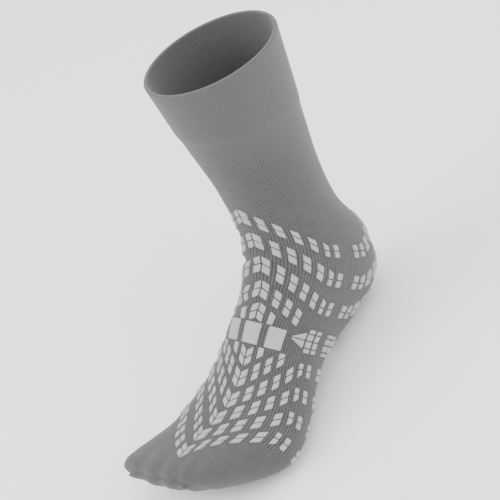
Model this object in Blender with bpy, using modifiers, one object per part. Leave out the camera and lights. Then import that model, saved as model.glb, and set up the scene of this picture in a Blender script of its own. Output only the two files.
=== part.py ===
"""Slipper sock: a knitted tube sock in the form of a worn left foot, with a rubber tread print on both faces.

Metres, +Z up. The toes point to -Y, and the origin is on the floor, under the tread in the middle of the heel.
The form is a loft. Each section lies in a plane through one point of the front outline (toes, instep, shin)
and one point of the back outline (sole, heel, calf), as a course of the knit does on a foot.
"""

from math import pi, radians
from typing import NamedTuple

import bpy
import numpy as np

# Sizes of the worn sock, outside
FOOT_LENGTH = 0.255
BALL_WIDTH = 0.104
HEEL_WIDTH = 0.068
INSTEP_HEIGHT = 0.073
ANKLE_HEIGHT = 0.125
SOCK_HEIGHT = 0.256
ANKLE_DEPTH = 0.075
ANKLE_WIDTH = 0.070
CUFF_DEPTH = 0.104
CUFF_WIDTH = 0.090
LEG_LEAN = radians(2.5)
# How far the heel's back lies behind the back of the ankle, as a share of FOOT_LENGTH
HEEL_OVERHANG = 0.042
TOE_SWEEP = 0.011
TOE_VALLEY = 0.0014
# Middles of the five toes, big toe first, as shares of BALL_WIDTH from the midline
TOE_MIDDLES = (-0.37, -0.18, -0.03, 0.105, 0.23)

# The rim's level at the back
RIM_BACK_UP = 2.94

# Walls, the cuff and the print. The clearance is between smooth forms: the facets come nearer
WALL = 0.0020
CUFF_WALL = 0.0030
CUFF_BAND = 0.048
CUFF_RAMP = 0.0015
TREAD = 0.0008
CLEARANCE = 0.0007
PANEL_HEIGHT = 0.020
PAD_HEIGHT = 0.016

# The print's reach from its midline, as a share of the half round from instep to sole
PRINT_REACH = 0.444

# Mesh fineness
COLUMNS = 36
BAND_STEPS = 3
# Each face's middle column, and which way along the columns its outer side lies
FACES = {"top": (COLUMNS // 2, 1), "sole": (COLUMNS, -1)}

KNIT_GREY = (0.215, 0.215, 0.218, 1.0)
TREAD_GREY = (0.50, 0.50, 0.505, 1.0)


class Section(NamedTuple):
    """One course. Along is a share of FOOT_LENGTH from the heel's back, up is a level: 1 is
    INSTEP_HEIGHT, 2 ANKLE_HEIGHT and 3 SOCK_HEIGHT. Width is a share of the width named by its
    table, shift is that of the middle to the outer side, widest is the height of the widest
    place, and top_power and sole_power round the two halves (2 is an ellipse, 3 is squarer)."""

    name: str
    front_along: float
    front_up: float
    back_along: float
    back_up: float
    width: float
    shift: float
    widest: float
    top_power: float
    sole_power: float
    rows: int


FOOT_SECTIONS = (
    Section("toe seam", 0.998, 0.530, 0.998, 0.400, 0.52, -0.150, 0.50, 2.0, 2.0, 1),
    Section("toe tip", 0.990, 0.590, 0.990, 0.335, 0.69, -0.142, 0.48, 2.1, 2.1, 1),
    Section("toe round", 0.969, 0.625, 0.969, 0.255, 0.81, -0.122, 0.45, 2.3, 2.4, 1),
    Section("toe base", 0.933, 0.625, 0.933, 0.165, 0.895, -0.090, 0.42, 2.3, 2.7, 2),
    Section("toes", 0.873, 0.600, 0.873, 0.066, 0.955, -0.035, 0.40, 2.3, 3.0, 2),
    Section("ball front", 0.800, 0.580, 0.796, 0.000, 0.995, 0.025, 0.38, 2.2, 3.2, 2),
    Section("ball", 0.722, 0.625, 0.706, -0.010, 1.000, 0.058, 0.37, 2.1, 3.2, 2),
    Section("fore arch", 0.651, 0.715, 0.596, 0.035, 0.905, 0.050, 0.38, 1.95, 2.7, 2),
    Section("arch", 0.584, 0.845, 0.475, 0.100, 0.795, 0.026, 0.42, 1.9, 2.3, 2),
    Section("instep", 0.522, 1.000, 0.353, 0.075, 0.710, 0.002, 0.45, 1.9, 2.2, 2),
)
HEEL_SECTIONS = (
    Section("heel front", 0.467, 1.184, 0.244, -0.012, 1.000, 0.005, 0.48, 1.95, 2.2, 3),
    Section("heel base", 0.420, 1.386, 0.138, -0.022, 1.000, 0.000, 0.50, 2.0, 2.2, 4),
    Section("heel round", 0.384, 1.596, 0.052, 0.050, 1.005, 0.000, 0.50, 2.0, 2.2, 4),
    Section("heel low", 0.363, 1.807, 0.003, 0.300, 1.010, 0.000, 0.50, 2.0, 2.2, 3),
    Section("heel back", 0.351, 2.008, -0.010, 0.575, 1.010, 0.000, 0.52, 2.0, 2.1, 3),
    Section("heel top", 0.345, 2.100, 0.002, 0.870, 1.020, 0.000, 0.54, 2.0, 2.0, 2),
    Section("tendon", 0.342, 2.191, 0.032, 1.270, 1.035, 0.000, 0.54, 2.0, 2.0, 2),
)


class LegCourse(NamedTuple):
    """One course of the leg: its levels at the front and at the back, from 2 at ANKLE_HEIGHT to
    3 at SOCK_HEIGHT, with 1 at INSTEP_HEIGHT, and its share of the way from ankle to cuff size."""

    name: str
    front_up: float
    back_up: float
    width_share: float
    rows: int


LEG_COURSES = (
    LegCourse("ankle", 2.298, 1.750, 0.08, 2),
    LegCourse("ankle top", 2.420, 2.092, 0.20, 1),
    LegCourse("shin", 2.573, 2.330, 0.44, 1),
)
# The leg's depth on the way from ankle to cuff, by level
LEG_SWELL = ((1.6, 0.05), (2.0, 0.0), (2.2, 0.12), (2.45, 0.42), (2.7, 0.76), (3.0, 1.0))


class TreadRow(NamedTuple):
    """One chevron row: the course at its apex and at its side end, as shares of the sock's length
    from the toe seam to the rim, the share of PRINT_REACH where its arms end, and its height."""

    apex: float
    side: float
    reach: float
    height: float


TREAD_ROWS = (
    TreadRow(0.646, 0.561, 1.0, 0.012),
    TreadRow(0.577, 0.504, 1.0, 0.012),
    TreadRow(0.5165, 0.444, 1.0, 0.012),
    TreadRow(0.462, 0.386, 0.5, 0.012),
    TreadRow(0.41, 0.335, 0.25, 0.012),
    TreadRow(0.2967, 0.405, 0.25, 0.012),
    TreadRow(0.2464, 0.357, 0.5, 0.012),
    TreadRow(0.196, 0.31, 1.0, 0.011),
    TreadRow(0.153, 0.264, 1.0, 0.0105),
    TreadRow(0.11, 0.218, 1.0, 0.0105),
    TreadRow(0.064, 0.171, 1.0, 0.0105),
)
# The share of an arm where it turns level towards its side end, and a row's height there
ARM_TURN = 0.78
END_HEIGHT_SHARE = 0.92
# How many mesh columns to the outer side each face's midline lies, by course
MIDLINE_WANDER = {
    "top": (
        (0.06, 0.0),
        (0.11, 0.0),
        (0.15, 0.35),
        (0.2, 0.9),
        (0.25, 1.05),
        (0.41, 1.15),
        (0.46, 0.95),
        (0.52, 0.75),
        (0.58, 0.35),
        (0.65, 0.0),
    ),
    "sole": (
        (0.1, 0.5),
        (0.25, 0.2),
        (0.4, 0.0),
    ),
}
# A corner of a band nearer than this to a whole column, in columns, is moved to it
SNAP = 0.25
# The bare strip for the pads, between the rows above and below it, and how far it reaches
PAD_STRIP = (0.329, 0.383)
PAD_STRIP_COLUMNS = 4
PAD_COURSE = 0.356
# Middles of the pads, in columns from the print's midline, and half their width
PAD_MIDDLES = (-2.7, 0.0, 2.7)
PAD_HALF_WIDTH = 0.95
PANEL_COURSE = 0.368
# The panel's outline: columns from the print's midline, and shares of its height
PANEL_OUTLINE = ((4.1, 0.08), (5.5, 1.0), (8.0, 1.0))
# The course of the sole's midline over the origin, where the tread under the heel lies flat
ORIGIN_COURSE = 0.4625


def level(up):
    """The height of a level."""
    return np.interp(up, (0, 1, 2, 3), (0, INSTEP_HEIGHT, ANKLE_HEIGHT, SOCK_HEIGHT))


def leg_half_depth(up):
    levels, swell = zip(*LEG_SWELL)
    return (ANKLE_DEPTH + np.interp(up, levels, swell) * (CUFF_DEPTH - ANKLE_DEPTH)) / 2


def leg_centre(up):
    """The leg's middle at a level, measured forward from the heel's back."""
    ankle = HEEL_OVERHANG * FOOT_LENGTH + ANKLE_DEPTH / 2
    return ankle - np.tan(LEG_LEAN) * (level(up) - ANKLE_HEIGHT)


def foot_row(section, named_width):
    front = (section.front_along * FOOT_LENGTH, level(section.front_up))
    back = (section.back_along * FOOT_LENGTH, level(section.back_up))
    half_width = section.width * named_width / 2
    shape = (section.widest, section.top_power, section.sole_power)
    return [*front, *back, half_width, section.shift * named_width, *shape]


def leg_row(front_up, back_up, width_share):
    front = (leg_centre(front_up) + leg_half_depth(front_up), level(front_up))
    back = (leg_centre(back_up) - leg_half_depth(back_up), level(back_up))
    half_width = (ANKLE_WIDTH + width_share * (CUFF_WIDTH - ANKLE_WIDTH)) / 2
    return [*front, *back, half_width, 0.0, 0.5, 2.0, 2.0]


def outline_table():
    """Every course's row of numbers, and how many mesh rows lead from it to the next."""
    cuff_up = 3 - CUFF_BAND / (SOCK_HEIGHT - ANKLE_HEIGHT)
    rows = [foot_row(section, BALL_WIDTH) for section in FOOT_SECTIONS]
    rows += [foot_row(section, HEEL_WIDTH) for section in HEEL_SECTIONS]
    below = [course for course in LEG_COURSES if course.front_up < cuff_up + 0.1]
    rows += [leg_row(c.front_up, c.back_up, c.width_share) for c in below]
    rows += [leg_row(3.0, RIM_BACK_UP, 1.0)]
    steps = [section.rows for section in FOOT_SECTIONS + HEEL_SECTIONS]
    steps += [course.rows for course in below]
    return np.array(rows), steps


def path_lengths(rows):
    """The mean length of the front and back outlines up to each row."""
    front = np.hypot(*np.diff(rows[:, 0:2], axis=0).T)
    back = np.hypot(*np.diff(rows[:, 2:4], axis=0).T)
    return np.concatenate([[0.0], np.cumsum((front + back) / 2)])


def smooth_row(rows, lengths, at):
    """The row of numbers at a length, on a smooth curve through the table's rows."""
    k = int(np.clip(np.searchsorted(lengths, at) - 1, 0, len(lengths) - 2))
    slopes = np.gradient(rows, lengths, axis=0)
    span = lengths[k + 1] - lengths[k]
    t = (at - lengths[k]) / span
    rise, fall = t * t * (3 - 2 * t), 1 - t * t * (3 - 2 * t)
    start, end = t * (1 - t) ** 2 * span, -(1 - t) * t * t * span
    return fall * rows[k] + rise * rows[k + 1] + start * slopes[k] + end * slopes[k + 1]


def power(value, exponent):
    return np.sign(value) * np.abs(value) ** exponent


def smooth_step(value, low, high):
    t = np.clip((value - low) / (high - low), 0, 1)
    return t * t * (3 - 2 * t)


def toe_form(x, along, up, middle_up):
    """The oblique line of the toes, and the soft valleys between them. The big toe is on the inner side."""
    near_toes = smooth_step(along, 0.72 * FOOT_LENGTH, FOOT_LENGTH)
    near_tips = smooth_step(along, 0.86 * FOOT_LENGTH, 0.98 * FOOT_LENGTH)
    outward = np.clip((x / BALL_WIDTH + 0.30) / 0.60, 0, 1.3)
    toe = np.interp(x / BALL_WIDTH, TOE_MIDDLES, range(len(TOE_MIDDLES)))
    valley = TOE_VALLEY * (1 - np.cos(2 * pi * toe)) / 2 * near_tips
    above = np.clip((up - middle_up) / (0.2 * INSTEP_HEIGHT), 0, 1)
    return along - TOE_SWEEP * outward**1.7 * near_toes - valley, up - 0.7 * valley * above


def loop_at(row, sides):
    """Points round one course, at equal shares of the way from front to back on each side."""
    front, back = row[0:2], row[2:4]
    half_width, shift, widest, top_power, sole_power = row[4:9]
    fine = np.linspace(0, pi, 121)
    exponent = 2 / np.where(fine <= pi / 2, top_power, sole_power)
    lateral = half_width * power(np.sin(fine), exponent)
    reach = np.where(fine <= pi / 2, 1 - widest, widest)
    share = widest + reach * power(np.cos(fine), exponent)
    steps = np.hypot(np.diff(lateral), np.diff(share) * np.hypot(*(front - back)))
    way = np.concatenate([[0.0], np.cumsum(steps)])
    place = np.abs(sides) * way[-1]
    x = np.sign(sides) * np.interp(place, way, lateral) + shift * np.sin(np.abs(sides) * pi) ** 0.5
    line = np.interp(place, way, share)
    along = back[0] + line * (front[0] - back[0])
    up = back[1] + line * (front[1] - back[1])
    along, up = toe_form(x, along, up, (front[1] + back[1]) / 2)
    return np.column_stack([x, -along, np.maximum(up, TREAD + CLEARANCE)])


def knit_rows():
    """Lengths of the mesh rows, finer where the form turns, with the cuff's step."""
    table, steps = outline_table()
    lengths = path_lengths(table)
    rows = [np.linspace(a, b, n, endpoint=False) for a, b, n in zip(lengths, lengths[1:], steps)]
    cuff = lengths[-1] - CUFF_BAND
    body = [length for length in np.concatenate(rows) if length < cuff - 2 * CUFF_RAMP]
    band = [cuff - CUFF_RAMP, cuff, (cuff + lengths[-1]) / 2, lengths[-1]]
    return table, lengths, np.array(body + band)


def grid_of(table, lengths, rows):
    """Outside points of the knit, by row and column, with the cuff standing proud by its extra wall."""
    sides = np.array([2 * j / COLUMNS for j in range(-COLUMNS // 2, COLUMNS // 2)])
    grid = np.array([loop_at(smooth_row(table, lengths, at), sides) for at in rows])
    proud = smooth_step(rows, rows[-4], rows[-3]) * (CUFF_WALL - WALL)
    grid += normals_of(grid) * proud[:, None, None]
    grid[:, :, 1] -= np.interp(ORIGIN_COURSE * rows[-1], rows, grid[:, 0, 1])
    return grid


def normals_of(grid):
    """Outward unit normals at the points of the grid."""
    round_way = np.roll(grid, -1, axis=1) - np.roll(grid, 1, axis=1)
    length_way = np.gradient(grid, axis=0)
    normals = np.cross(round_way, length_way)
    return normals / np.linalg.norm(normals, axis=2, keepdims=True)


def material(name, colour, roughness):
    made = bpy.data.materials.new(name)
    made.use_nodes = True
    shader = made.node_tree.nodes["Principled BSDF"]
    shader.inputs["Base Color"].default_value = colour
    shader.inputs["Roughness"].default_value = roughness
    return made


def add_object(name, vertices, faces, surface, collection):
    mesh = bpy.data.meshes.new(name)
    mesh.from_pydata([tuple(v) for v in vertices], [], faces)
    mesh.validate()
    mesh.materials.append(surface)
    mesh.shade_smooth()
    made = bpy.data.objects.new(name, mesh)
    collection.objects.link(made)
    return made


def thicken(made, thickness, outward):
    shell = made.modifiers.new("wall", "SOLIDIFY")
    shell.thickness = thickness
    shell.offset = 1 if outward else -1
    shell.use_even_offset = True
    shell.use_quality_normals = True
    return shell


def add_sock(grid, surface, collection):
    """The knitted tube, its toe closed by the seam and its wall laid inward from its outside."""
    rows, columns = grid.shape[:2]
    faces = []
    for i in range(rows - 1):
        for j in range(columns):
            k = (j + 1) % columns
            faces.append((i * columns + j, i * columns + k, (i + 1) * columns + k, (i + 1) * columns + j))
    quarter = columns // 4
    for k in range(-quarter, quarter):
        above, above_next = columns // 2 + k, columns // 2 + k + 1
        below, below_next = -k % columns, (-k - 1) % columns
        faces.append(tuple(dict.fromkeys((above, below, below_next, above_next))))
    sock = add_object("sock", grid.reshape(-1, 3), faces, surface, collection)
    wall = thicken(sock, CUFF_WALL, outward=False)
    # An even offset throws a spike out of the narrow toe seam
    wall.use_even_offset = False
    group = sock.vertex_groups.new(name="cuff")
    cuff_start = (rows - 3) * columns
    group.add(list(range(cuff_start)), WALL / CUFF_WALL, "REPLACE")
    group.add(list(range(cuff_start, rows * columns)), 1.0, "REPLACE")
    wall.vertex_group = "cuff"
    return sock


class Knit:
    """The outside of the knit as a grid, for laying the print on it."""

    def __init__(self, grid, rows):
        self.grid = grid
        self.normals = normals_of(grid)
        self.rows = rows
        steps = np.linalg.norm(np.diff(grid, axis=0), axis=2)
        start = np.zeros((1, grid.shape[1]))
        self.ways = np.concatenate([start, np.cumsum(steps, axis=0)])

    def row_at(self, course):
        """The fractional mesh row of a course, given as a share of the sock's length."""
        return np.interp(course * self.rows[-1], self.rows, np.arange(len(self.rows)))

    def beside(self, row, column, distance):
        """The fractional row that lies a distance further along one column."""
        numbers = np.arange(len(self.rows))
        way = np.interp(row, numbers, self.ways[:, column]) + distance
        return np.interp(way, self.ways[:, column], numbers)

    def above(self, row, column, height):
        """The point at a height over a fractional row and column."""
        low, left = int(min(row, len(self.rows) - 2)), int(np.floor(column))
        part, turn = row - low, column - left
        left, right = left % COLUMNS, (left + 1) % COLUMNS
        sums = []
        for values in (self.grid, self.normals):
            near = values[low, left] * (1 - turn) + values[low, right] * turn
            far = values[low + 1, left] * (1 - turn) + values[low + 1, right] * turn
            sums.append(near * (1 - part) + far * part)
        point, normal = sums
        return point + normal / np.linalg.norm(normal) * height


def across(low, high):
    """The rows of a band's points from edge to edge, on the knit's own mesh rows where they can be."""
    places = np.linspace(low, high, BAND_STEPS + 1)
    for inner in range(1, BAND_STEPS):
        nearest = round(places[inner])
        if places[inner - 1] + 0.1 < nearest < places[inner + 1] - 0.1:
            places[inner] = nearest
    return places


def wander(face, course):
    """How far a face's midline lies to the outer side at a course, in columns."""
    courses, columns = zip(*MIDLINE_WANDER[face])
    return np.interp(course, courses, columns)


def add_band(name, knit, face, outline, corners, surface, collection):
    """A band of tread over the knit. Its outline gives, at columns from the print's midline, the course
    of its middle, half its height, and the courses it is cut to. It gets a station at each of the
    corners, and at each whole column between them, so that it follows the knit's facets."""
    outline = np.array(sorted(outline))
    middle, outwards = FACES[face]
    fine = np.linspace(outline[0, 0], outline[-1, 0], 400)
    columns = middle + fine + outwards * wander(face, np.interp(fine, outline[:, 0], outline[:, 1]))
    ends = np.interp(sorted(corners), fine, columns)
    nearest = np.round(ends)
    ends = np.where(np.abs(ends - nearest) < SNAP, nearest, ends)
    whole = np.arange(np.ceil(ends[0]), ends[-1])
    places = np.unique(np.concatenate([ends, whole]))
    vertices = []
    for column in places:
        k = np.interp(column, columns, fine)
        course, half_height, lowest, highest = (
            np.interp(k, outline[:, 0], outline[:, i]) for i in range(1, 5)
        )
        row = knit.row_at(course)
        low = max(knit.beside(row, round(column) % COLUMNS, -half_height), knit.row_at(lowest))
        high = min(knit.beside(row, round(column) % COLUMNS, half_height), knit.row_at(highest))
        vertices += [knit.above(place, column, CLEARANCE) for place in across(low, high)]
    width = BAND_STEPS + 1
    faces = []
    for i in range(len(places) - 1):
        for j in range(BAND_STEPS):
            a = i * width + j
            faces.append((a, a + width, a + width + 1, a + 1))
    band = add_object(name, vertices, faces, surface, collection)
    thicken(band, TREAD, outward=True)
    return band


def row_outline(row, full, last):
    """A chevron row's outline: its arms slant from the apex, turn level near their ends, and are cut
    to the pads' strip beside it."""
    turn = min(ARM_TURN * full, last)
    outline = []
    for k in (-last, -turn, 0, turn, last):
        share = abs(k) / full
        course = row.apex + (row.side - row.apex) * min(share / ARM_TURN, 1)
        height = row.height * (1 + (END_HEIGHT_SHARE - 1) * share)
        lowest, highest = 0.0, 1.0
        if last <= PAD_STRIP_COLUMNS and row.apex > PAD_COURSE:
            lowest = PAD_STRIP[1]
        if last <= PAD_STRIP_COLUMNS and row.apex < PAD_COURSE:
            highest = PAD_STRIP[0]
        outline.append((k, course, height / 2, lowest, highest))
    return sorted(set(outline))


def add_print(face, knit, surface, collection):
    """One face's print: its chevron rows, the two side panels and the pads at its centre."""
    full = PRINT_REACH * COLUMNS / 2
    for number, row in enumerate(TREAD_ROWS, start=1):
        name = f"{face}_row_{number:02d}"
        last = full * row.reach
        outline = row_outline(row, full, last)
        add_band(name, knit, face, outline, (-last, 0, last), surface, collection)
    for hand, sign in (("left", 1), ("right", -1)):
        outline = [
            (sign * k, PANEL_COURSE, share * PANEL_HEIGHT / 2, 0.0, 1.0)
            for k, share in PANEL_OUTLINE
        ]
        corners = [sign * k for k, share in PANEL_OUTLINE]
        add_band(f"{face}_panel_{hand}", knit, face, outline, corners, surface, collection)
    for number, k in enumerate(PAD_MIDDLES, start=1):
        ends = (k - PAD_HALF_WIDTH, k + PAD_HALF_WIDTH)
        outline = [(end, PAD_COURSE, PAD_HEIGHT / 2, *PAD_STRIP) for end in ends]
        add_band(f"{face}_pad_{number}", knit, face, outline, ends, surface, collection)


def main():
    for old in list(bpy.data.objects):
        bpy.data.objects.remove(old, do_unlink=True)
    collection = bpy.data.collections.new("slipper_sock")
    bpy.context.scene.collection.children.link(collection)
    knit_surface = material("grey knit", KNIT_GREY, 0.95)
    tread_surface = material("light grey silicone print", TREAD_GREY, 0.6)
    grid = grid_of(*knit_rows())
    add_sock(grid, knit_surface, collection)
    knit = Knit(grid, knit_rows()[2])
    for face in FACES:
        add_print(face, knit, tread_surface, collection)


main()
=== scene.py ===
"""Looks of the slipper sock: a ribbed grey knit tube in the form of a worn left foot, with light grey
silicone blocks printed on both faces, on a plain pale floor in soft studio light.

Metres, +Z up, toes to -Y, the little toe's side to +X. The knit and the print follow the same table of
courses as the source, at a finer pitch. A place on the knit is a side, from 0 at the instep's midline to
1 or -1 at the sole's, and a mesh row, counted from the toe seam to the rim.
"""

from math import cos, pi, radians, sin, tan
from typing import NamedTuple

import bpy
import numpy as np
from mathutils import Matrix, Vector


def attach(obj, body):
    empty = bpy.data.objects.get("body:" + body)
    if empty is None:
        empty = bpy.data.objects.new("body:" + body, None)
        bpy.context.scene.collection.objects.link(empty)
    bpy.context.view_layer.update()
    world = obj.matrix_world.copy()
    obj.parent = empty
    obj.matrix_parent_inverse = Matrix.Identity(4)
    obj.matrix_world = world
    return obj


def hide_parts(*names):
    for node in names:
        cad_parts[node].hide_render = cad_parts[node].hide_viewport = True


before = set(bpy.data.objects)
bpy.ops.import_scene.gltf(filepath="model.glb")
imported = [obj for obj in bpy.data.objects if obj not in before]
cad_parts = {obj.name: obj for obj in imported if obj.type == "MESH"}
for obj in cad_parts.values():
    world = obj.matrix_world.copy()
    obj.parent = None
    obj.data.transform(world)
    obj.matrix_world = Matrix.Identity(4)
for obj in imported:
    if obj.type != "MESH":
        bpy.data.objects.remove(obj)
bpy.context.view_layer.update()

# Sizes of the worn sock, as in the source
FOOT_LENGTH = 0.255
BALL_WIDTH = 0.104
HEEL_WIDTH = 0.068
INSTEP_HEIGHT = 0.073
ANKLE_HEIGHT = 0.125
SOCK_HEIGHT = 0.256
ANKLE_DEPTH = 0.075
ANKLE_WIDTH = 0.070
CUFF_DEPTH = 0.104
CUFF_WIDTH = 0.090
LEG_LEAN = radians(2.5)
HEEL_OVERHANG = 0.042
TOE_SWEEP = 0.011
TOE_VALLEY = 0.0014
TOE_MIDDLES = (-0.37, -0.18, -0.03, 0.105, 0.23)
# Where along the foot the toes' sweep and the valleys between them come in, as shares of its length
SWEEP_RANGE = (0.72, 1.0)
VALLEY_RANGE = (0.86, 0.98)
WALL = 0.0020
CUFF_WALL = 0.0030
CUFF_BAND = 0.048
CUFF_RAMP = 0.0120
FLOOR_GAP = 0.0015

# The courses of the foot and the heel: along and up at the front outline, along and up at the back
# outline, width, shift, height of the widest place, and the powers of the upper and the lower half
FOOT_COURSES = (
    (0.998, 0.530, 0.998, 0.400, 0.52, -0.150, 0.50, 2.0, 2.0),
    (0.990, 0.590, 0.990, 0.335, 0.69, -0.142, 0.48, 2.1, 2.1),
    (0.969, 0.625, 0.969, 0.255, 0.81, -0.122, 0.45, 2.3, 2.4),
    (0.933, 0.625, 0.933, 0.165, 0.895, -0.090, 0.42, 2.3, 2.7),
    (0.873, 0.600, 0.873, 0.066, 0.955, -0.035, 0.40, 2.3, 3.0),
    (0.800, 0.580, 0.796, 0.000, 0.995, 0.025, 0.38, 2.2, 3.2),
    (0.722, 0.625, 0.706, -0.010, 1.000, 0.058, 0.37, 2.1, 3.2),
    (0.651, 0.715, 0.596, 0.035, 0.905, 0.050, 0.38, 1.95, 2.7),
    (0.584, 0.845, 0.475, 0.100, 0.795, 0.026, 0.42, 1.9, 2.3),
    (0.522, 1.000, 0.353, 0.075, 0.710, 0.002, 0.45, 1.9, 2.2),
)
HEEL_COURSES = (
    (0.467, 1.184, 0.244, -0.012, 1.000, 0.005, 0.48, 1.95, 2.2),
    (0.420, 1.386, 0.138, -0.022, 1.000, 0.000, 0.50, 2.0, 2.2),
    (0.384, 1.596, 0.052, 0.050, 1.005, 0.000, 0.50, 2.0, 2.2),
    (0.363, 1.807, 0.003, 0.300, 1.010, 0.000, 0.50, 2.0, 2.2),
    (0.351, 2.008, -0.010, 0.575, 1.010, 0.000, 0.52, 2.0, 2.1),
    (0.345, 2.100, 0.002, 0.870, 1.020, 0.000, 0.54, 2.0, 2.0),
    (0.342, 2.191, 0.032, 1.270, 1.035, 0.000, 0.54, 2.0, 2.0),
)
# The leg's courses: levels at the front and the back, and the share of the way to the cuff's width
LEG_COURSES = (
    (2.298, 1.750, 0.08),
    (2.420, 2.092, 0.20),
    (2.573, 2.330, 0.44),
    (3.000, 2.940, 1.00),
)
LEG_SWELL = ((1.6, 0.05), (2.0, 0.0), (2.2, 0.12), (2.45, 0.42), (2.7, 0.76), (3.0, 1.0))

# The print's rows: the course at the apex and at the side end, as shares of the sock's length, the
# share of PRINT_REACH where the arms end, and the height
TREAD_ROWS = (
    (0.646, 0.561, 1.0, 0.012),
    (0.577, 0.504, 1.0, 0.012),
    (0.5165, 0.444, 1.0, 0.012),
    (0.462, 0.386, 0.5, 0.012),
    (0.41, 0.335, 0.25, 0.012),
    (0.2967, 0.405, 0.25, 0.012),
    (0.2464, 0.357, 0.5, 0.012),
    (0.196, 0.31, 1.0, 0.011),
    (0.153, 0.264, 1.0, 0.0105),
    (0.11, 0.218, 1.0, 0.0105),
    (0.064, 0.171, 1.0, 0.0105),
)
# The share of an arm where it turns level towards its side end, and a row's height there
ARM_TURN = 0.78
END_HEIGHT_SHARE = 0.92
# How far to the outer side each face's midline lies, in the source's columns, by course
MIDLINE_WANDER = {
    "top": (
        (0.06, 0.0),
        (0.11, 0.0),
        (0.15, 0.35),
        (0.2, 0.9),
        (0.25, 1.05),
        (0.41, 1.15),
        (0.46, 0.95),
        (0.52, 0.75),
        (0.58, 0.35),
        (0.65, 0.0),
    ),
    "sole": (
        (0.1, 0.5),
        (0.25, 0.2),
        (0.4, 0.0),
    ),
}
ORIGIN_COURSE = 0.4625
PRINT_REACH = 0.444
PAD_STRIP = (0.329, 0.383)
PAD_STRIP_REACH = 0.5
PAD_COURSE = 0.356
PAD_HEIGHT = 0.016
PANEL_COURSE = 0.368
PANEL_HEIGHT = 0.020
# One of the source's columns, as a side
COLUMN = 2 / 36
PAD_MIDDLES = (-2.7 * COLUMN, 0.0, 2.7 * COLUMN)
PAD_HALF_WIDTH = 0.95 * COLUMN

# The print's blocks in one arm of a row, as shares of the reach, and how much bare knit splits a stack
CENTRE_BLOCKS = (0.008, 0.090)
STACKS = ((0.160, 0.240), (0.308, 0.388), (0.460, 0.540), (0.615, 0.695))
POINTED_STACK = (0.770, 0.832)
END_STACK = (0.900, 0.970)
# How far a stack may pass its row's reach, and the reach below which a row has single outer blocks
SPARE_REACH = 0.05
SHORT_REACH = 0.3
SPLIT = 0.06
# The pointed stack's slanted end at its two sides, and its other end, in halves of the row's height
POINTED_END = (1.3, 0.8)
PLAIN_END = (0.9, 0.9)
# The rows that lie above the pads
ROWS_ABOVE_PADS = 5

# Fineness of the knit's mesh
MESH_COLUMNS = 168
MESH_ROWS = 232
CLOSING_ROWS = 5

# Colours, as seen: the knit's two yarns, the painted shade in the furrows between its ribs, and the
# print
KNIT_COLOURS = ("#4e4e4f", "#585859")
FURROW_SHADE_COLOUR = "#343435"
PRINT_COLOURS = ("#9c9c9d", "#a9a9aa")

# Ribs round the knit and stitches along it
RIBS_ROUND = 116
COURSES_LONG = 260
# Where the ribs fade: towards the back of the leg, by side and by course, on the cuff and on the toes
BACK_SIDES = (0.45, 0.80)
BACK_COURSES = (0.60, 0.74)
CUFF_COURSES = (0.76, 0.87)
TOE_COURSES = (0.03, 0.12)
BACK_FADE = 0.85
TOE_FADE = 0.3

# How far the toe seam stands out from the first course, the rim's rounding, and the height of the
# rim's edge band
SEAM_REACH = 0.0022
RIM_ROUNDING = 0.0012
RIM_BAND = 0.010

# How far the print stands proud of the knit, how far it is sunk into it, and a block's corners
PRINT_HEIGHT = 0.0010
SOLE_PRINT_HEIGHT = FLOOR_GAP
SUNK = 0.0003
BLOCK_CORNER = 0.0007
# In a block's template, from -1 to 1: how wide its corners are, how far its flat top is set in, and
# the height of its outer top edge as a share of the whole
TEMPLATE_CORNER = 0.5
TOP_INSET = 0.32
EDGE_HEIGHT = 0.45
# The cuts of a pad's template, both ways
PAD_CUTS = (-0.45, -0.27, -0.09, 0.09, 0.27, 0.45)

# The camera: from the little toe's side, above, rolled as the photograph is
CAMERA_AZIMUTH = radians(55.7)
CAMERA_ELEVATION = radians(36)
CAMERA_ROLL = radians(30)
CAMERA_LENS = 89
CAMERA_AWAY = 0.88
CAMERA_AIM = (0.0075, -0.0601, 0.1202)
SENSOR_WIDTH = 36

# The studio's lamps: name, place, size and watts
SOFTBOXES = (
    ("key softbox", (-0.9, -1.2, 1.6), 1.2, 30),
    ("fill softbox", (1.5, 0.1, 1.1), 1.4, 14),
    ("top softbox", (0.0, 0.4, 2.0), 1.6, 17),
)
WORLD_STRENGTH = 1.45
FLOOR_SIZE = 8


# The form of the foot and the leg


def level(up):
    """The height of a level: 1 is the instep, 2 the ankle and 3 the rim."""
    return np.interp(up, (0, 1, 2, 3), (0, INSTEP_HEIGHT, ANKLE_HEIGHT, SOCK_HEIGHT))


def leg_half_depth(up):
    levels, swell = zip(*LEG_SWELL)
    return (ANKLE_DEPTH + np.interp(up, levels, swell) * (CUFF_DEPTH - ANKLE_DEPTH)) / 2


def leg_centre(up):
    ankle = HEEL_OVERHANG * FOOT_LENGTH + ANKLE_DEPTH / 2
    return ankle - tan(LEG_LEAN) * (level(up) - ANKLE_HEIGHT)


def foot_course(course, named_width):
    front = (course[0] * FOOT_LENGTH, level(course[1]))
    back = (course[2] * FOOT_LENGTH, level(course[3]))
    return [*front, *back, course[4] * named_width / 2, course[5] * named_width, *course[6:]]


def leg_course(front_up, back_up, width_share):
    front = (leg_centre(front_up) + leg_half_depth(front_up), level(front_up))
    back = (leg_centre(back_up) - leg_half_depth(back_up), level(back_up))
    half_width = (ANKLE_WIDTH + width_share * (CUFF_WIDTH - ANKLE_WIDTH)) / 2
    return [*front, *back, half_width, 0.0, 0.5, 2.0, 2.0]


def course_table():
    rows = [foot_course(course, BALL_WIDTH) for course in FOOT_COURSES]
    rows += [foot_course(course, HEEL_WIDTH) for course in HEEL_COURSES]
    rows += [leg_course(*course) for course in LEG_COURSES]
    return np.array(rows)


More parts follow.
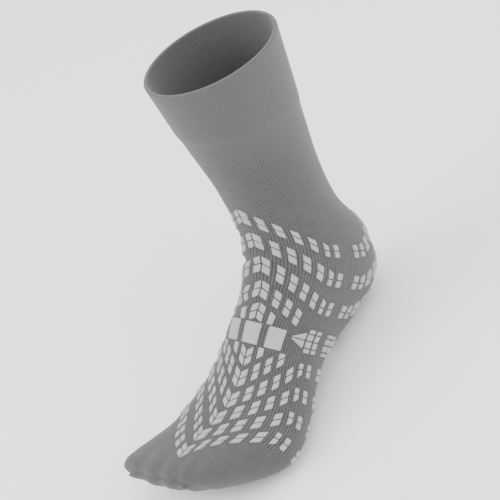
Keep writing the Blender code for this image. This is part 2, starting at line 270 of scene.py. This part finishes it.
def path_lengths(rows):
    front = np.hypot(*np.diff(rows[:, 0:2], axis=0).T)
    back = np.hypot(*np.diff(rows[:, 2:4], axis=0).T)
    return np.concatenate([[0.0], np.cumsum((front + back) / 2)])


def smooth_course(rows, lengths, at):
    """The course at a length, on a smooth curve through the table's rows."""
    k = int(np.clip(np.searchsorted(lengths, at) - 1, 0, len(lengths) - 2))
    slopes = np.gradient(rows, lengths, axis=0)
    span = lengths[k + 1] - lengths[k]
    t = (at - lengths[k]) / span
    rise, fall = t * t * (3 - 2 * t), 1 - t * t * (3 - 2 * t)
    start, end = t * (1 - t) ** 2 * span, -(1 - t) * t * t * span
    return fall * rows[k] + rise * rows[k + 1] + start * slopes[k] + end * slopes[k + 1]


def power(value, exponent):
    return np.sign(value) * np.abs(value) ** exponent


def smooth_step(value, low, high):
    t = np.clip((value - low) / (high - low), 0, 1)
    return t * t * (3 - 2 * t)


def toe_form(x, along, up, middle_up):
    """The oblique line of the toes, and the soft valleys between them."""
    near_toes = smooth_step(along / FOOT_LENGTH, *SWEEP_RANGE)
    near_tips = smooth_step(along / FOOT_LENGTH, *VALLEY_RANGE)
    outward = np.clip((x / BALL_WIDTH + 0.30) / 0.60, 0, 1.3)
    toe = np.interp(x / BALL_WIDTH, TOE_MIDDLES, range(len(TOE_MIDDLES)))
    valley = TOE_VALLEY * (1 - np.cos(2 * pi * toe)) / 2 * near_tips
    above = np.clip((up - middle_up) / (0.2 * INSTEP_HEIGHT), 0, 1)
    return along - TOE_SWEEP * outward**1.7 * near_toes - valley, up - 0.7 * valley * above


def loop_at(row, sides):
    """Points round one course, at equal shares of the way from front to back on each side. The shift
    to one side comes in more gently beside the midline than in the source, where the toe folds over."""
    front, back = row[0:2], row[2:4]
    half_width, shift, widest, top_power, sole_power = row[4:9]
    fine = np.linspace(0, pi, 241)
    exponent = 2 / np.where(fine <= pi / 2, top_power, sole_power)
    lateral = half_width * power(np.sin(fine), exponent)
    reach = np.where(fine <= pi / 2, 1 - widest, widest)
    share = widest + reach * power(np.cos(fine), exponent)
    steps = np.hypot(np.diff(lateral), np.diff(share) * np.hypot(*(front - back)))
    way = np.concatenate([[0.0], np.cumsum(steps)])
    place = np.abs(sides) * way[-1]
    x = np.sign(sides) * np.interp(place, way, lateral) + shift * np.sin(np.abs(sides) * pi)
    line = np.interp(place, way, share)
    along = back[0] + line * (front[0] - back[0])
    up = back[1] + line * (front[1] - back[1])
    along, up = toe_form(x, along, up, (front[1] + back[1]) / 2)
    return np.column_stack([x, -along, np.maximum(up, FLOOR_GAP)])


def normals_of(grid):
    round_way = np.gradient(grid, axis=1)
    round_way[:, 0] = round_way[:, -1] = grid[:, 1] - grid[:, -2]
    length_way = np.gradient(grid, axis=0)
    normals = np.cross(round_way, length_way)
    return normals / np.maximum(np.linalg.norm(normals, axis=2, keepdims=True), 1e-12)


# The creases that lie across the bend of the ankle: the course and the side of the middle,
# how far it bends down to its ends, its reach in sides, its depth and its width in metres
CREASES = (
    (0.515, -0.10, 0.010, 0.30, 0.0011, 0.0035),
    (0.466, 0.06, 0.014, 0.34, 0.0013, 0.0040),
    (0.424, -0.04, 0.012, 0.30, 0.0010, 0.0040),
    (0.392, 0.20, 0.016, 0.26, 0.0007, 0.0035),
    (0.560, 0.16, 0.008, 0.26, 0.0006, 0.0040),
)
# The swells on both sides of a crease: their share of its depth, how many of its widths they lie away
# from it, and how fast a crease and its swells fade towards their ends
SWELL_SHARE = 0.45
SWELL_AWAY = 1.9
CREASE_FADE = 1.5


def crease_depths(sides, courses, length):
    """How far the creases and the swells beside them move the knit in."""
    depth = np.zeros((len(courses), len(sides)))
    for course, side, bend, reach, deep, wide in CREASES:
        from_middle = (sides[None, :] - side) / reach
        line = course - bend * from_middle**2
        away = (courses[:, None] - line) * length / wide
        fade = np.exp(-(from_middle**2) * CREASE_FADE)
        depth += deep * np.exp(-(away**2)) * fade
        depth -= SWELL_SHARE * deep * np.exp(-((np.abs(away) - SWELL_AWAY) ** 2)) * fade
    return depth


class Knit:
    """The outside of the knit as a fine grid of points and normals, by mesh row and side."""

    def __init__(self):
        table = course_table()
        lengths = path_lengths(table)
        self.length = lengths[-1]
        self.rows = np.linspace(0, self.length, MESH_ROWS + 1)
        self.sides = np.linspace(-1, 1, MESH_COLUMNS + 1)
        grid = np.array([loop_at(smooth_course(table, lengths, at), self.sides) for at in self.rows])
        cuff = self.length - CUFF_BAND
        proud = smooth_step(self.rows, cuff - CUFF_RAMP, cuff) * (CUFF_WALL - WALL)
        depth = crease_depths(self.sides, self.rows / self.length, self.length)
        grid += normals_of(grid) * (proud[:, None] - depth)[:, :, None]
        grid[:, :, 2] = np.maximum(grid[:, :, 2], FLOOR_GAP)
        grid[:, :, 1] -= np.interp(ORIGIN_COURSE * self.length, self.rows, grid[:, 0, 1])
        self.grid = grid
        self.normals = normals_of(grid)
        steps = np.linalg.norm(np.diff(grid, axis=0), axis=2)
        self.ways = np.concatenate([np.zeros((1, MESH_COLUMNS + 1)), np.cumsum(steps, axis=0)])

    def row_at(self, course):
        return course * MESH_ROWS

    def beside(self, row, side, distance):
        """The mesh row that lies a distance further along the wale at a side."""
        column = int(round((side + 1) / 2 * MESH_COLUMNS)) % MESH_COLUMNS
        numbers = np.arange(MESH_ROWS + 1)
        way = np.interp(row, numbers, self.ways[:, column]) + distance
        return float(np.interp(way, self.ways[:, column], numbers))

    def sample(self, values, row, side):
        """The value of a grid at a fractional mesh row and side."""
        row = min(max(row, 0.0), MESH_ROWS - 1e-6)
        column = ((side + 1) / 2 % 1.0) * MESH_COLUMNS
        i, j = int(row), int(column)
        s, t = row - i, column - j
        near = values[i, j] * (1 - t) + values[i, j + 1] * t
        far = values[i + 1, j] * (1 - t) + values[i + 1, j + 1] * t
        return near * (1 - s) + far * s

    def above(self, row, side, height):
        point = self.sample(self.grid, row, side)
        normal = self.sample(self.normals, row, side)
        return point + normal / np.linalg.norm(normal) * height


# Materials


def linear(code):
    """A material colour from its sRGB hex value."""
    parts = [int(code[i : i + 2], 16) / 255 for i in (1, 3, 5)]
    return (*[c / 12.92 if c <= 0.04045 else ((c + 0.055) / 1.055) ** 2.4 for c in parts], 1.0)


def node(material, kind, inputs=(), **settings):
    """Adds one node with its settings, and its inputs: a fixed value, or the output linked to it."""
    made = material.node_tree.nodes.new(kind)
    for name, value in settings.items():
        setattr(made, name, value)
    for socket, value in dict(inputs).items():
        if isinstance(value, bpy.types.NodeSocket):
            material.node_tree.links.new(value, made.inputs[socket])
        else:
            made.inputs[socket].default_value = value
    return made


def new_material(name, roughness, colour):
    material = bpy.data.materials.new(name)
    material.use_nodes = True
    shader = material.node_tree.nodes["Principled BSDF"]
    shader.inputs["Base Color"].default_value = linear(colour)
    shader.inputs["Roughness"].default_value = roughness
    return material, shader


def rib_knit():
    """Cotton and elastane rib knit: soft, matt yarn with a little fuzz, in fine wales with furrows
    between them, where the yarn's colour is darkened as painted shade. The furrows come from the knit's
    own UV map, so they follow the leg."""
    material, shader = new_material("grey rib knit of cotton and elastane", 0.95, KNIT_COLOURS[0])
    shader.inputs["Sheen Weight"].default_value = 0.2
    shader.inputs["Sheen Roughness"].default_value = 0.55
    shader.inputs["IOR"].default_value = 1.45
    shader.inputs["Specular IOR Level"].default_value = 0.2
    place = node(material, "ShaderNodeTexCoord")
    solid = place.outputs["Object"]
    round_way, length_way = node(
        material, "ShaderNodeSeparateXYZ", {0: place.outputs["UV"]}
    ).outputs[0:2]
    ribbed = node(material, "ShaderNodeAttribute", attribute_name="ribbed").outputs["Fac"]
    # Wales that wander a little, with a narrow furrow between each two
    wander = node(material, "ShaderNodeTexNoise", {"Vector": solid, "Scale": 22.0, "Detail": 1.0})
    turn = node(
        material,
        "ShaderNodeMath",
        {0: round_way, 1: float(RIBS_ROUND), 2: wander.outputs["Fac"]},
        operation="MULTIPLY_ADD",
    )
    wale = node(material, "ShaderNodeMath", {0: turn.outputs[0], 1: 0.5}, operation="PINGPONG")
    furrow = node(
        material,
        "ShaderNodeMapRange",
        {"Value": wale.outputs[0], "From Min": 0.04, "From Max": 0.24, "To Min": 1.0, "To Max": 0.0},
        interpolation_type="SMOOTHSTEP",
    )
    ribs = node(
        material, "ShaderNodeMath", {0: furrow.outputs[0], 1: ribbed}, operation="MULTIPLY"
    )
    # The painted shade in the furrows is darker here and there, at random
    uneven = node(
        material,
        "ShaderNodeTexNoise",
        {"Vector": solid, "Scale": 170.0, "Detail": 3.0, "Roughness": 0.6},
    )
    shade_strength = node(
        material,
        "ShaderNodeMapRange",
        {"Value": uneven.outputs["Fac"], "From Min": 0.35, "From Max": 0.6, "To Min": 0.45},
    )
    furrow_shade = node(
        material, "ShaderNodeMath", {0: ribs.outputs[0], 1: shade_strength.outputs[0]}, operation="MULTIPLY"
    )
    # Mottled yarn
    yarn = node(material, "ShaderNodeTexNoise", {"Vector": solid, "Scale": 900.0, "Detail": 2.0})
    mottle = node(
        material,
        "ShaderNodeMapRange",
        {"Value": yarn.outputs["Fac"], "From Min": 0.3, "From Max": 0.7},
    )
    body = node(
        material,
        "ShaderNodeMix",
        {0: mottle.outputs[0], 6: linear(KNIT_COLOURS[0]), 7: linear(KNIT_COLOURS[1])},
        data_type="RGBA",
    )
    # Painted shade: the yarn's colour is mixed towards a dark shade colour in the furrows between the
    # ribs
    colour = node(
        material,
        "ShaderNodeMix",
        {0: furrow_shade.outputs[0], 6: body.outputs[2], 7: linear(FURROW_SHADE_COLOUR)},
        data_type="RGBA",
    )
    # Relief: furrows, single stitches along the wales, and fuzz
    courses = node(
        material, "ShaderNodeMath", {0: length_way, 1: float(COURSES_LONG)}, operation="MULTIPLY"
    )
    stitch = node(material, "ShaderNodeMath", {0: courses.outputs[0], 1: 0.5}, operation="PINGPONG")
    raised = node(
        material,
        "ShaderNodeMath",
        {0: stitch.outputs[0], 1: 0.25, 2: yarn.outputs["Fac"]},
        operation="MULTIPLY_ADD",
    )
    relief = node(
        material,
        "ShaderNodeMath",
        {0: ribs.outputs[0], 1: -1.6, 2: raised.outputs[0]},
        operation="MULTIPLY_ADD",
    )
    bump = node(
        material,
        "ShaderNodeBump",
        {"Height": relief.outputs[0], "Strength": 0.5, "Distance": 0.0005},
    )
    links = material.node_tree.links
    links.new(colour.outputs[2], shader.inputs["Base Color"])
    links.new(bump.outputs[0], shader.inputs["Normal"])
    return material


def silicone_print():
    """Screen-printed silicone: a smooth, slightly rubbery film that takes the knit's unevenness."""
    material, shader = new_material("light grey screen-printed silicone", 0.55, PRINT_COLOURS[0])
    shader.inputs["IOR"].default_value = 1.43
    shader.inputs["Specular IOR Level"].default_value = 0.3
    place = node(material, "ShaderNodeTexCoord")
    grain = node(
        material,
        "ShaderNodeTexNoise",
        {"Vector": place.outputs["Object"], "Scale": 420.0, "Detail": 3.0, "Roughness": 0.6},
    )
    colour = node(
        material,
        "ShaderNodeMix",
        {0: grain.outputs["Fac"], 6: linear(PRINT_COLOURS[0]), 7: linear(PRINT_COLOURS[1])},
        data_type="RGBA",
    )
    bump = node(
        material,
        "ShaderNodeBump",
        {"Height": grain.outputs["Fac"], "Strength": 0.25, "Distance": 0.0003},
    )
    links = material.node_tree.links
    links.new(colour.outputs[2], shader.inputs["Base Color"])
    links.new(bump.outputs[0], shader.inputs["Normal"])
    return material


def floor_paint():
    """Seamless studio paper, pale and matt."""
    material, shader = new_material("white studio paper", 0.9, "#ffffff")
    shader.inputs["Specular IOR Level"].default_value = 0.1
    return material


# Modelling helpers


def deselect_all():
    if bpy.context.mode != "OBJECT":
        bpy.ops.object.mode_set(mode="OBJECT")
    bpy.ops.object.select_all(action="DESELECT")


def start_piece(name):
    """Names the primitive that was just added."""
    made = bpy.context.active_object
    made.name = name
    made.data.name = name
    return made


def select_where(made, kind, test):
    """Selects only the vertices, edges or faces that pass a test, by place or normal, in edit mode."""
    bpy.context.view_layer.objects.active = made
    bpy.ops.object.mode_set(mode="OBJECT")
    mesh = made.data
    for group in (mesh.vertices, mesh.edges, mesh.polygons):
        group.foreach_set("select", [False] * len(group))
    for item in getattr(mesh, kind):
        item.select = test(item)
    bpy.ops.object.mode_set(mode="EDIT")
    mode = {"vertices": "VERT", "edges": "EDGE", "polygons": "FACE"}[kind]
    bpy.ops.mesh.select_mode(type=mode)


def edge_ends(made, edge):
    return [made.data.vertices[i].co for i in edge.vertices]


def apply_modifiers(made):
    deselect_all()
    made.select_set(True)
    bpy.context.view_layer.objects.active = made
    for modifier in list(made.modifiers):
        bpy.ops.object.modifier_apply(modifier=modifier.name)


def merge_and_turn_out(made, distance):
    deselect_all()
    made.select_set(True)
    bpy.context.view_layer.objects.active = made
    bpy.ops.object.mode_set(mode="EDIT")
    bpy.ops.mesh.select_all(action="SELECT")
    bpy.ops.mesh.remove_doubles(threshold=distance)
    bpy.ops.mesh.normals_make_consistent(inside=False)
    bpy.ops.object.mode_set(mode="OBJECT")


def put_vertices(made, points):
    made.data.vertices.foreach_set("co", np.asarray(points, dtype=np.float32).reshape(-1))
    made.data.update()


# The knit


def ribbed_share(side, course):
    """How clearly the ribs and the painted shade in their furrows show: full on the foot and the front
    of the leg, a little less on the toes, faint at the back of the leg, and none on the cuff."""
    leg_back = smooth_step(abs(side), *BACK_SIDES) * smooth_step(course, *BACK_COURSES)
    cuff = smooth_step(course, *CUFF_COURSES)
    toes = 1 - smooth_step(course, *TOE_COURSES)
    return (1 - BACK_FADE * leg_back) * (1 - cuff) * (1 - TOE_FADE * toes)


def knit_sock(knit, surface):
    """One sheet wrapped round the form and closed at the toe, with a wall and a rounded rim."""
    deselect_all()
    bpy.ops.mesh.primitive_grid_add(
        x_subdivisions=MESH_COLUMNS,
        y_subdivisions=MESH_ROWS + CLOSING_ROWS,
        size=1,
        calc_uvs=True,
    )
    sock = start_piece("knit_sock")
    mesh = sock.data
    flat = np.empty(len(mesh.vertices) * 3)
    mesh.vertices.foreach_get("co", flat)
    flat = flat.reshape(-1, 3)
    columns = np.rint((flat[:, 0] + 0.5) * MESH_COLUMNS).astype(int)
    rows = np.rint((flat[:, 1] + 0.5) * (MESH_ROWS + CLOSING_ROWS)).astype(int) - CLOSING_ROWS
    across = np.where(
        np.abs(knit.sides) > 0,
        np.sign(knit.sides) * (1 - np.abs(knit.sides)),
        1.0,
    )
    partner = np.rint((across + 1) / 2 * MESH_COLUMNS).astype(int)
    first = knit.grid[0]
    middle = (first + first[partner]) / 2
    points = np.empty_like(flat)
    for i, (row, column) in enumerate(zip(rows, columns)):
        if row >= 0:
            points[i] = knit.grid[row, column]
            continue
        turn = (CLOSING_ROWS + row) / CLOSING_ROWS * pi / 2
        points[i] = middle[column] + (first[column] - middle[column]) * sin(turn)
        points[i][1] -= SEAM_REACH * cos(turn)
    put_vertices(sock, points)
    ribbed = mesh.attributes.new("ribbed", "FLOAT", "POINT")
    shares = [
        float(ribbed_share(knit.sides[column], max(row, 0) / MESH_ROWS))
        for row, column in zip(rows, columns)
    ]
    ribbed.data.foreach_set("value", shares)
    wall = sock.vertex_groups.new(name="cuff")
    cuff_row = round((1 - CUFF_BAND / knit.length) * MESH_ROWS)
    thin = [i for i, row in enumerate(rows.tolist()) if row < cuff_row]
    thick = [i for i, row in enumerate(rows.tolist()) if row >= cuff_row]
    wall.add(thin, WALL / CUFF_WALL, "REPLACE")
    wall.add(thick, 1.0, "REPLACE")
    merge_and_turn_out(sock, 1e-5)
    mesh.materials.append(surface)
    shell = sock.modifiers.new("wall", "SOLIDIFY")
    shell.thickness = CUFF_WALL
    shell.offset = -1
    shell.vertex_group = "cuff"
    apply_modifiers(sock)
    round_rim(sock)
    bpy.ops.object.mode_set(mode="OBJECT")
    bpy.ops.object.shade_smooth()
    return sock


def round_rim(sock):
    """Rounds both edges of the rim."""

    def on_rim(face):
        return face.normal.z > 0.7 and face.center.z > SOCK_HEIGHT - RIM_BAND

    select_where(sock, "polygons", on_rim)
    bpy.ops.mesh.region_to_loop()
    bpy.ops.mesh.bevel(offset=RIM_ROUNDING, segments=3, profile=0.5, affect="EDGES")


# The print


def block_template():
    """One printed block, modelled once: a slab of half size 1 with rounded corners and a soft top edge.
    Its bevels are half a unit wide, so that a copy can keep them the same real size."""
    deselect_all()
    bpy.ops.mesh.primitive_cube_add(size=2)
    block = start_piece("block_template")

    def upright(edge):
        a, b = edge_ends(block, edge)
        return abs(a.z - b.z) > 1

    def at_top(face):
        return face.normal.z > 0.9

    select_where(block, "edges", upright)
    bpy.ops.mesh.bevel(offset=TEMPLATE_CORNER, segments=2, affect="EDGES")
    select_where(block, "polygons", at_top)
    bpy.ops.mesh.inset(thickness=TOP_INSET, depth=0)
    bpy.ops.object.mode_set(mode="OBJECT")
    for vertex in block.data.vertices:
        x, y = abs(vertex.co.x), abs(vertex.co.y)
        if vertex.co.z > 0.9 and (max(x, y) > 0.9 or x + y > 1.69):
            vertex.co.z = EDGE_HEIGHT
    return block


def pad_template(block):
    """The block again, cut into strips both ways so that a wide pad can follow the form."""
    pad = block.copy()
    pad.data = block.data.copy()
    pad.name = pad.data.name = "pad_template"
    bpy.context.scene.collection.objects.link(pad)
    deselect_all()
    pad.select_set(True)
    bpy.context.view_layer.objects.active = pad
    bpy.ops.object.mode_set(mode="EDIT")
    for cut in PAD_CUTS:
        for direction in ((1, 0, 0), (0, 1, 0)):
            bpy.ops.mesh.select_all(action="SELECT")
            place = tuple(cut * part for part in direction)
            bpy.ops.mesh.bisect(plane_co=place, plane_no=direction)
    bpy.ops.object.mode_set(mode="OBJECT")
    return pad


def keep_corner(value, half_size, corner):
    """Where a template's -1 to 1 falls in a real half size, so that its bevels stay one real size."""
    corner = min(corner, 0.45 * half_size)
    away = abs(value)
    if away > TEMPLATE_CORNER:
        real = half_size - (1 - away) / TEMPLATE_CORNER * corner
    else:
        real = away / TEMPLATE_CORNER * (half_size - corner)
    return (real if value >= 0 else -real) / half_size


def wander(face, course):
    """How far a face's midline lies to the outer side at a course, as a side."""
    courses, columns = zip(*MIDLINE_WANDER[face])
    return float(np.interp(course, courses, columns)) * COLUMN


def side_on(face, course, from_midline):
    """The side of a place on a face's print, from its distance to the print's midline."""
    if face == "top":
        return from_midline + wander(face, course)
    side = 1 + from_midline - wander(face, course)
    return (side + 1) % 2 - 1


class Place(NamedTuple):
    """Where one block lies: how far its two sides are from the print's midline, the course at each of
    them, how far below and above that course it reaches there, in metres, and what it is cut to."""

    start: float
    end: float
    start_course: float
    end_course: float
    below: tuple
    above: tuple
    strip: tuple = (0.0, 1.0)


def lay_block(template, name, knit, face, place):
    """One copy of a template, laid on the knit."""
    copy = template.copy()
    copy.data = template.data.copy()
    copy.name = name
    bpy.context.scene.collection.objects.link(copy)
    middle_course = (place.start_course + place.end_course) / 2
    row = knit.row_at(middle_course)
    first = knit.above(row, side_on(face, middle_course, place.start), 0)
    last = knit.above(row, side_on(face, middle_course, place.end), 0)
    half_width = np.linalg.norm(last - first) / 2
    half_height = (sum(place.above) - sum(place.below)) / 4
    height = SOLE_PRINT_HEIGHT if face == "sole" else PRINT_HEIGHT
    cut_low, cut_high = (knit.row_at(course) for course in place.strip)
    points = []
    for vertex in template.data.vertices:
        across = 0.5 + keep_corner(vertex.co.x, half_width, BLOCK_CORNER) / 2
        along = 0.5 + keep_corner(vertex.co.y, half_height, BLOCK_CORNER) / 2
        course = place.start_course + (place.end_course - place.start_course) * across
        side = side_on(face, course, place.start + (place.end - place.start) * across)
        low = knit.beside(knit.row_at(course), side, np.interp(across, (0, 1), place.below))
        high = knit.beside(knit.row_at(course), side, np.interp(across, (0, 1), place.above))
        low, high = max(low, cut_low), min(high, cut_high)
        up = -SUNK if vertex.co.z < 0 else vertex.co.z * height
        points.append(knit.above(low + (high - low) * along, side, up))
    put_vertices(copy, points)
    return copy


def join_blocks(name, blocks, surface):
    deselect_all()
    for block in blocks:
        block.select_set(True)
    bpy.context.view_layer.objects.active = blocks[0]
    if len(blocks) > 1:
        bpy.ops.object.join()
    made = blocks[0]
    made.name = made.data.name = name
    bpy.ops.object.mode_set(mode="EDIT")
    bpy.ops.mesh.select_all(action="SELECT")
    bpy.ops.mesh.normals_make_consistent(inside=False)
    bpy.ops.object.mode_set(mode="OBJECT")
    made.data.materials.clear()
    made.data.materials.append(surface)
    bpy.ops.object.shade_smooth_by_angle(angle=radians(50))
    return made


def arm_course(row, share):
    """The course of a row's middle line at a share of its arm."""
    apex, side_end = row[0:2]
    return apex + (side_end - apex) * min(share / ARM_TURN, 1)


def row_blocks(number, reach):
    """One arm's blocks of a row: the shares of the reach where each starts and ends, and how far below
    and above the row's middle line it reaches at each of those, in halves of the row's height."""
    whole = ((-1, -1), (1, 1))
    upper = ((SPLIT, SPLIT), (1, 1))
    lower = ((-1, -1), (-SPLIT, -SPLIT))
    blocks = []
    stacks = [stack for stack in STACKS if stack[1] < reach + SPARE_REACH]
    if reach < SHORT_REACH:
        blocks.append((*stacks.pop(), *whole))
    for start, end in (CENTRE_BLOCKS, *stacks):
        blocks += [(start, end, *upper), (start, end, *lower)]
    if reach == 1:
        high_end, low_end = POINTED_END, PLAIN_END
        if number > ROWS_ABOVE_PADS:
            high_end, low_end = PLAIN_END, POINTED_END
        low_end = tuple(-end for end in low_end)
        blocks.append((*POINTED_STACK, (SPLIT, SPLIT), high_end))
        blocks.append((*POINTED_STACK, low_end, (-SPLIT, -SPLIT)))
        blocks += [(*END_STACK, *upper), (*END_STACK, *lower)]
    return blocks


def printed(name, blocks, surface, node_name):
    """Joins the blocks of one piece of print, and takes the place of its solid."""
    made = join_blocks(name, blocks, surface)
    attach(made, "root")
    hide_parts(node_name)


def printed_row(face, number, knit, template, surface):
    """One chevron row of the print: both arms, mirrored about the midline."""
    row = TREAD_ROWS[number - 1]
    apex, _, reach, row_height = row
    copies = []
    for hand in (1, -1):
        for start, end, below, above in row_blocks(number, reach):
            halves = [
                row_height / 2 * (1 + (END_HEIGHT_SHARE - 1) * share) for share in (start, end)
            ]
            strip = [0.0, 1.0]
            if start < PAD_STRIP_REACH:
                strip = [PAD_STRIP[1], 1.0] if apex > PAD_COURSE else [0.0, PAD_STRIP[0]]
            place = Place(
                hand * start * PRINT_REACH,
                hand * end * PRINT_REACH,
                arm_course(row, start),
                arm_course(row, end),
                [half * part for half, part in zip(halves, below)],
                [half * part for half, part in zip(halves, above)],
                strip,
            )
            copies.append(lay_block(template, f"{face}_block_{len(copies)}", knit, face, place))
    name = f"{face}_row_{number:02d}"
    printed(f"{name}_print", copies, surface, name)


# The panel's columns, as shares of the reach, and its blocks in each: how far below and above the
# middle each reaches at its two sides, in halves of the panel's height
PANEL_TIP = (0.545, 0.745)
PANEL_TIP_BLOCKS = (
    ((0.03, 0.03), (0.10, 0.66)),
    ((-0.10, -0.66), (-0.03, -0.03)),
)
PANEL_COLUMNS = ((0.772, 0.868), (0.900, 0.980))
PANEL_CELLS = ((-0.97, -0.64), (-0.56, -0.04), (0.04, 0.56), (0.64, 0.97))


def printed_panel(face, hand, knit, template, surface):
    """A side panel: a point of two blocks towards the midline, and two columns of four blocks."""
    sign = 1 if hand == "left" else -1
    half = PANEL_HEIGHT / 2
    blocks = [(*PANEL_TIP, *block) for block in PANEL_TIP_BLOCKS]
    for start, end in PANEL_COLUMNS:
        blocks += [(start, end, (low, low), (high, high)) for low, high in PANEL_CELLS]
    copies = []
    for start, end, below, above in blocks:
        place = Place(
            sign * start * PRINT_REACH,
            sign * end * PRINT_REACH,
            PANEL_COURSE,
            PANEL_COURSE,
            [half * part for part in below],
            [half * part for part in above],
        )
        name = f"{face}_{hand}_block_{len(copies)}"
        copies.append(lay_block(template, name, knit, face, place))
    name = f"{face}_panel_{hand}"
    printed(f"{name}_print", copies, surface, name)


def printed_pad(face, number, knit, template, surface):
    """A plain pad at the middle of a face."""
    middle, half = PAD_MIDDLES[number - 1], PAD_HEIGHT / 2
    place = Place(
        middle - PAD_HALF_WIDTH,
        middle + PAD_HALF_WIDTH,
        PAD_COURSE,
        PAD_COURSE,
        (-half, -half),
        (half, half),
        PAD_STRIP,
    )
    name = f"{face}_pad_{number}"
    pad = lay_block(template, f"{name}_print", knit, face, place)
    printed(f"{name}_print", [pad], surface, name)


# The studio


def add_floor():
    deselect_all()
    bpy.ops.mesh.primitive_plane_add(size=FLOOR_SIZE)
    floor = start_piece("studio_floor")
    floor.data.materials.append(floor_paint())


def add_softbox(name, place, size, watts):
    light = bpy.data.lights.new(name, "AREA")
    light.shape = "SQUARE"
    light.size = size
    light.energy = watts
    lamp = bpy.data.objects.new(name, light)
    bpy.context.scene.collection.objects.link(lamp)
    aim = Vector(CAMERA_AIM) - Vector(place)
    lamp.location = place
    lamp.rotation_euler = aim.to_track_quat("-Z", "Y").to_euler()


def add_world():
    world = bpy.data.worlds.new("studio")
    bpy.context.scene.world = world
    world.use_nodes = True
    back = world.node_tree.nodes["Background"]
    back.inputs["Color"].default_value = (1, 1, 1, 1)
    back.inputs["Strength"].default_value = WORLD_STRENGTH


def add_camera():
    lens = bpy.data.cameras.new("camera")
    lens.lens = CAMERA_LENS
    lens.sensor_width = SENSOR_WIDTH
    camera = bpy.data.objects.new("camera", lens)
    bpy.context.scene.collection.objects.link(camera)
    flat = cos(CAMERA_ELEVATION)
    way = Vector((sin(CAMERA_AZIMUTH) * flat, -cos(CAMERA_AZIMUTH) * flat, sin(CAMERA_ELEVATION)))
    place = Vector(CAMERA_AIM) + way * CAMERA_AWAY
    turn = (-way).to_track_quat("-Z", "Y").to_matrix().to_4x4()
    roll = Matrix.Rotation(-CAMERA_ROLL, 4, "Z")
    camera.matrix_world = Matrix.Translation(place) @ turn @ roll
    bpy.context.scene.camera = camera


def main():
    knit = Knit()
    sock = knit_sock(knit, rib_knit())
    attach(sock, "root")
    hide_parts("sock")
    film = silicone_print()
    block = block_template()
    pad = pad_template(block)
    for face in ("top", "sole"):
        for number in range(1, len(TREAD_ROWS) + 1):
            printed_row(face, number, knit, block, film)
        for hand in ("left", "right"):
            printed_panel(face, hand, knit, block, film)
        for number in (1, 2, 3):
            printed_pad(face, number, knit, pad, film)
    bpy.data.objects.remove(block)
    bpy.data.objects.remove(pad)
    add_floor()
    add_world()
    for softbox in SOFTBOXES:
        add_softbox(*softbox)
    add_camera()


main()
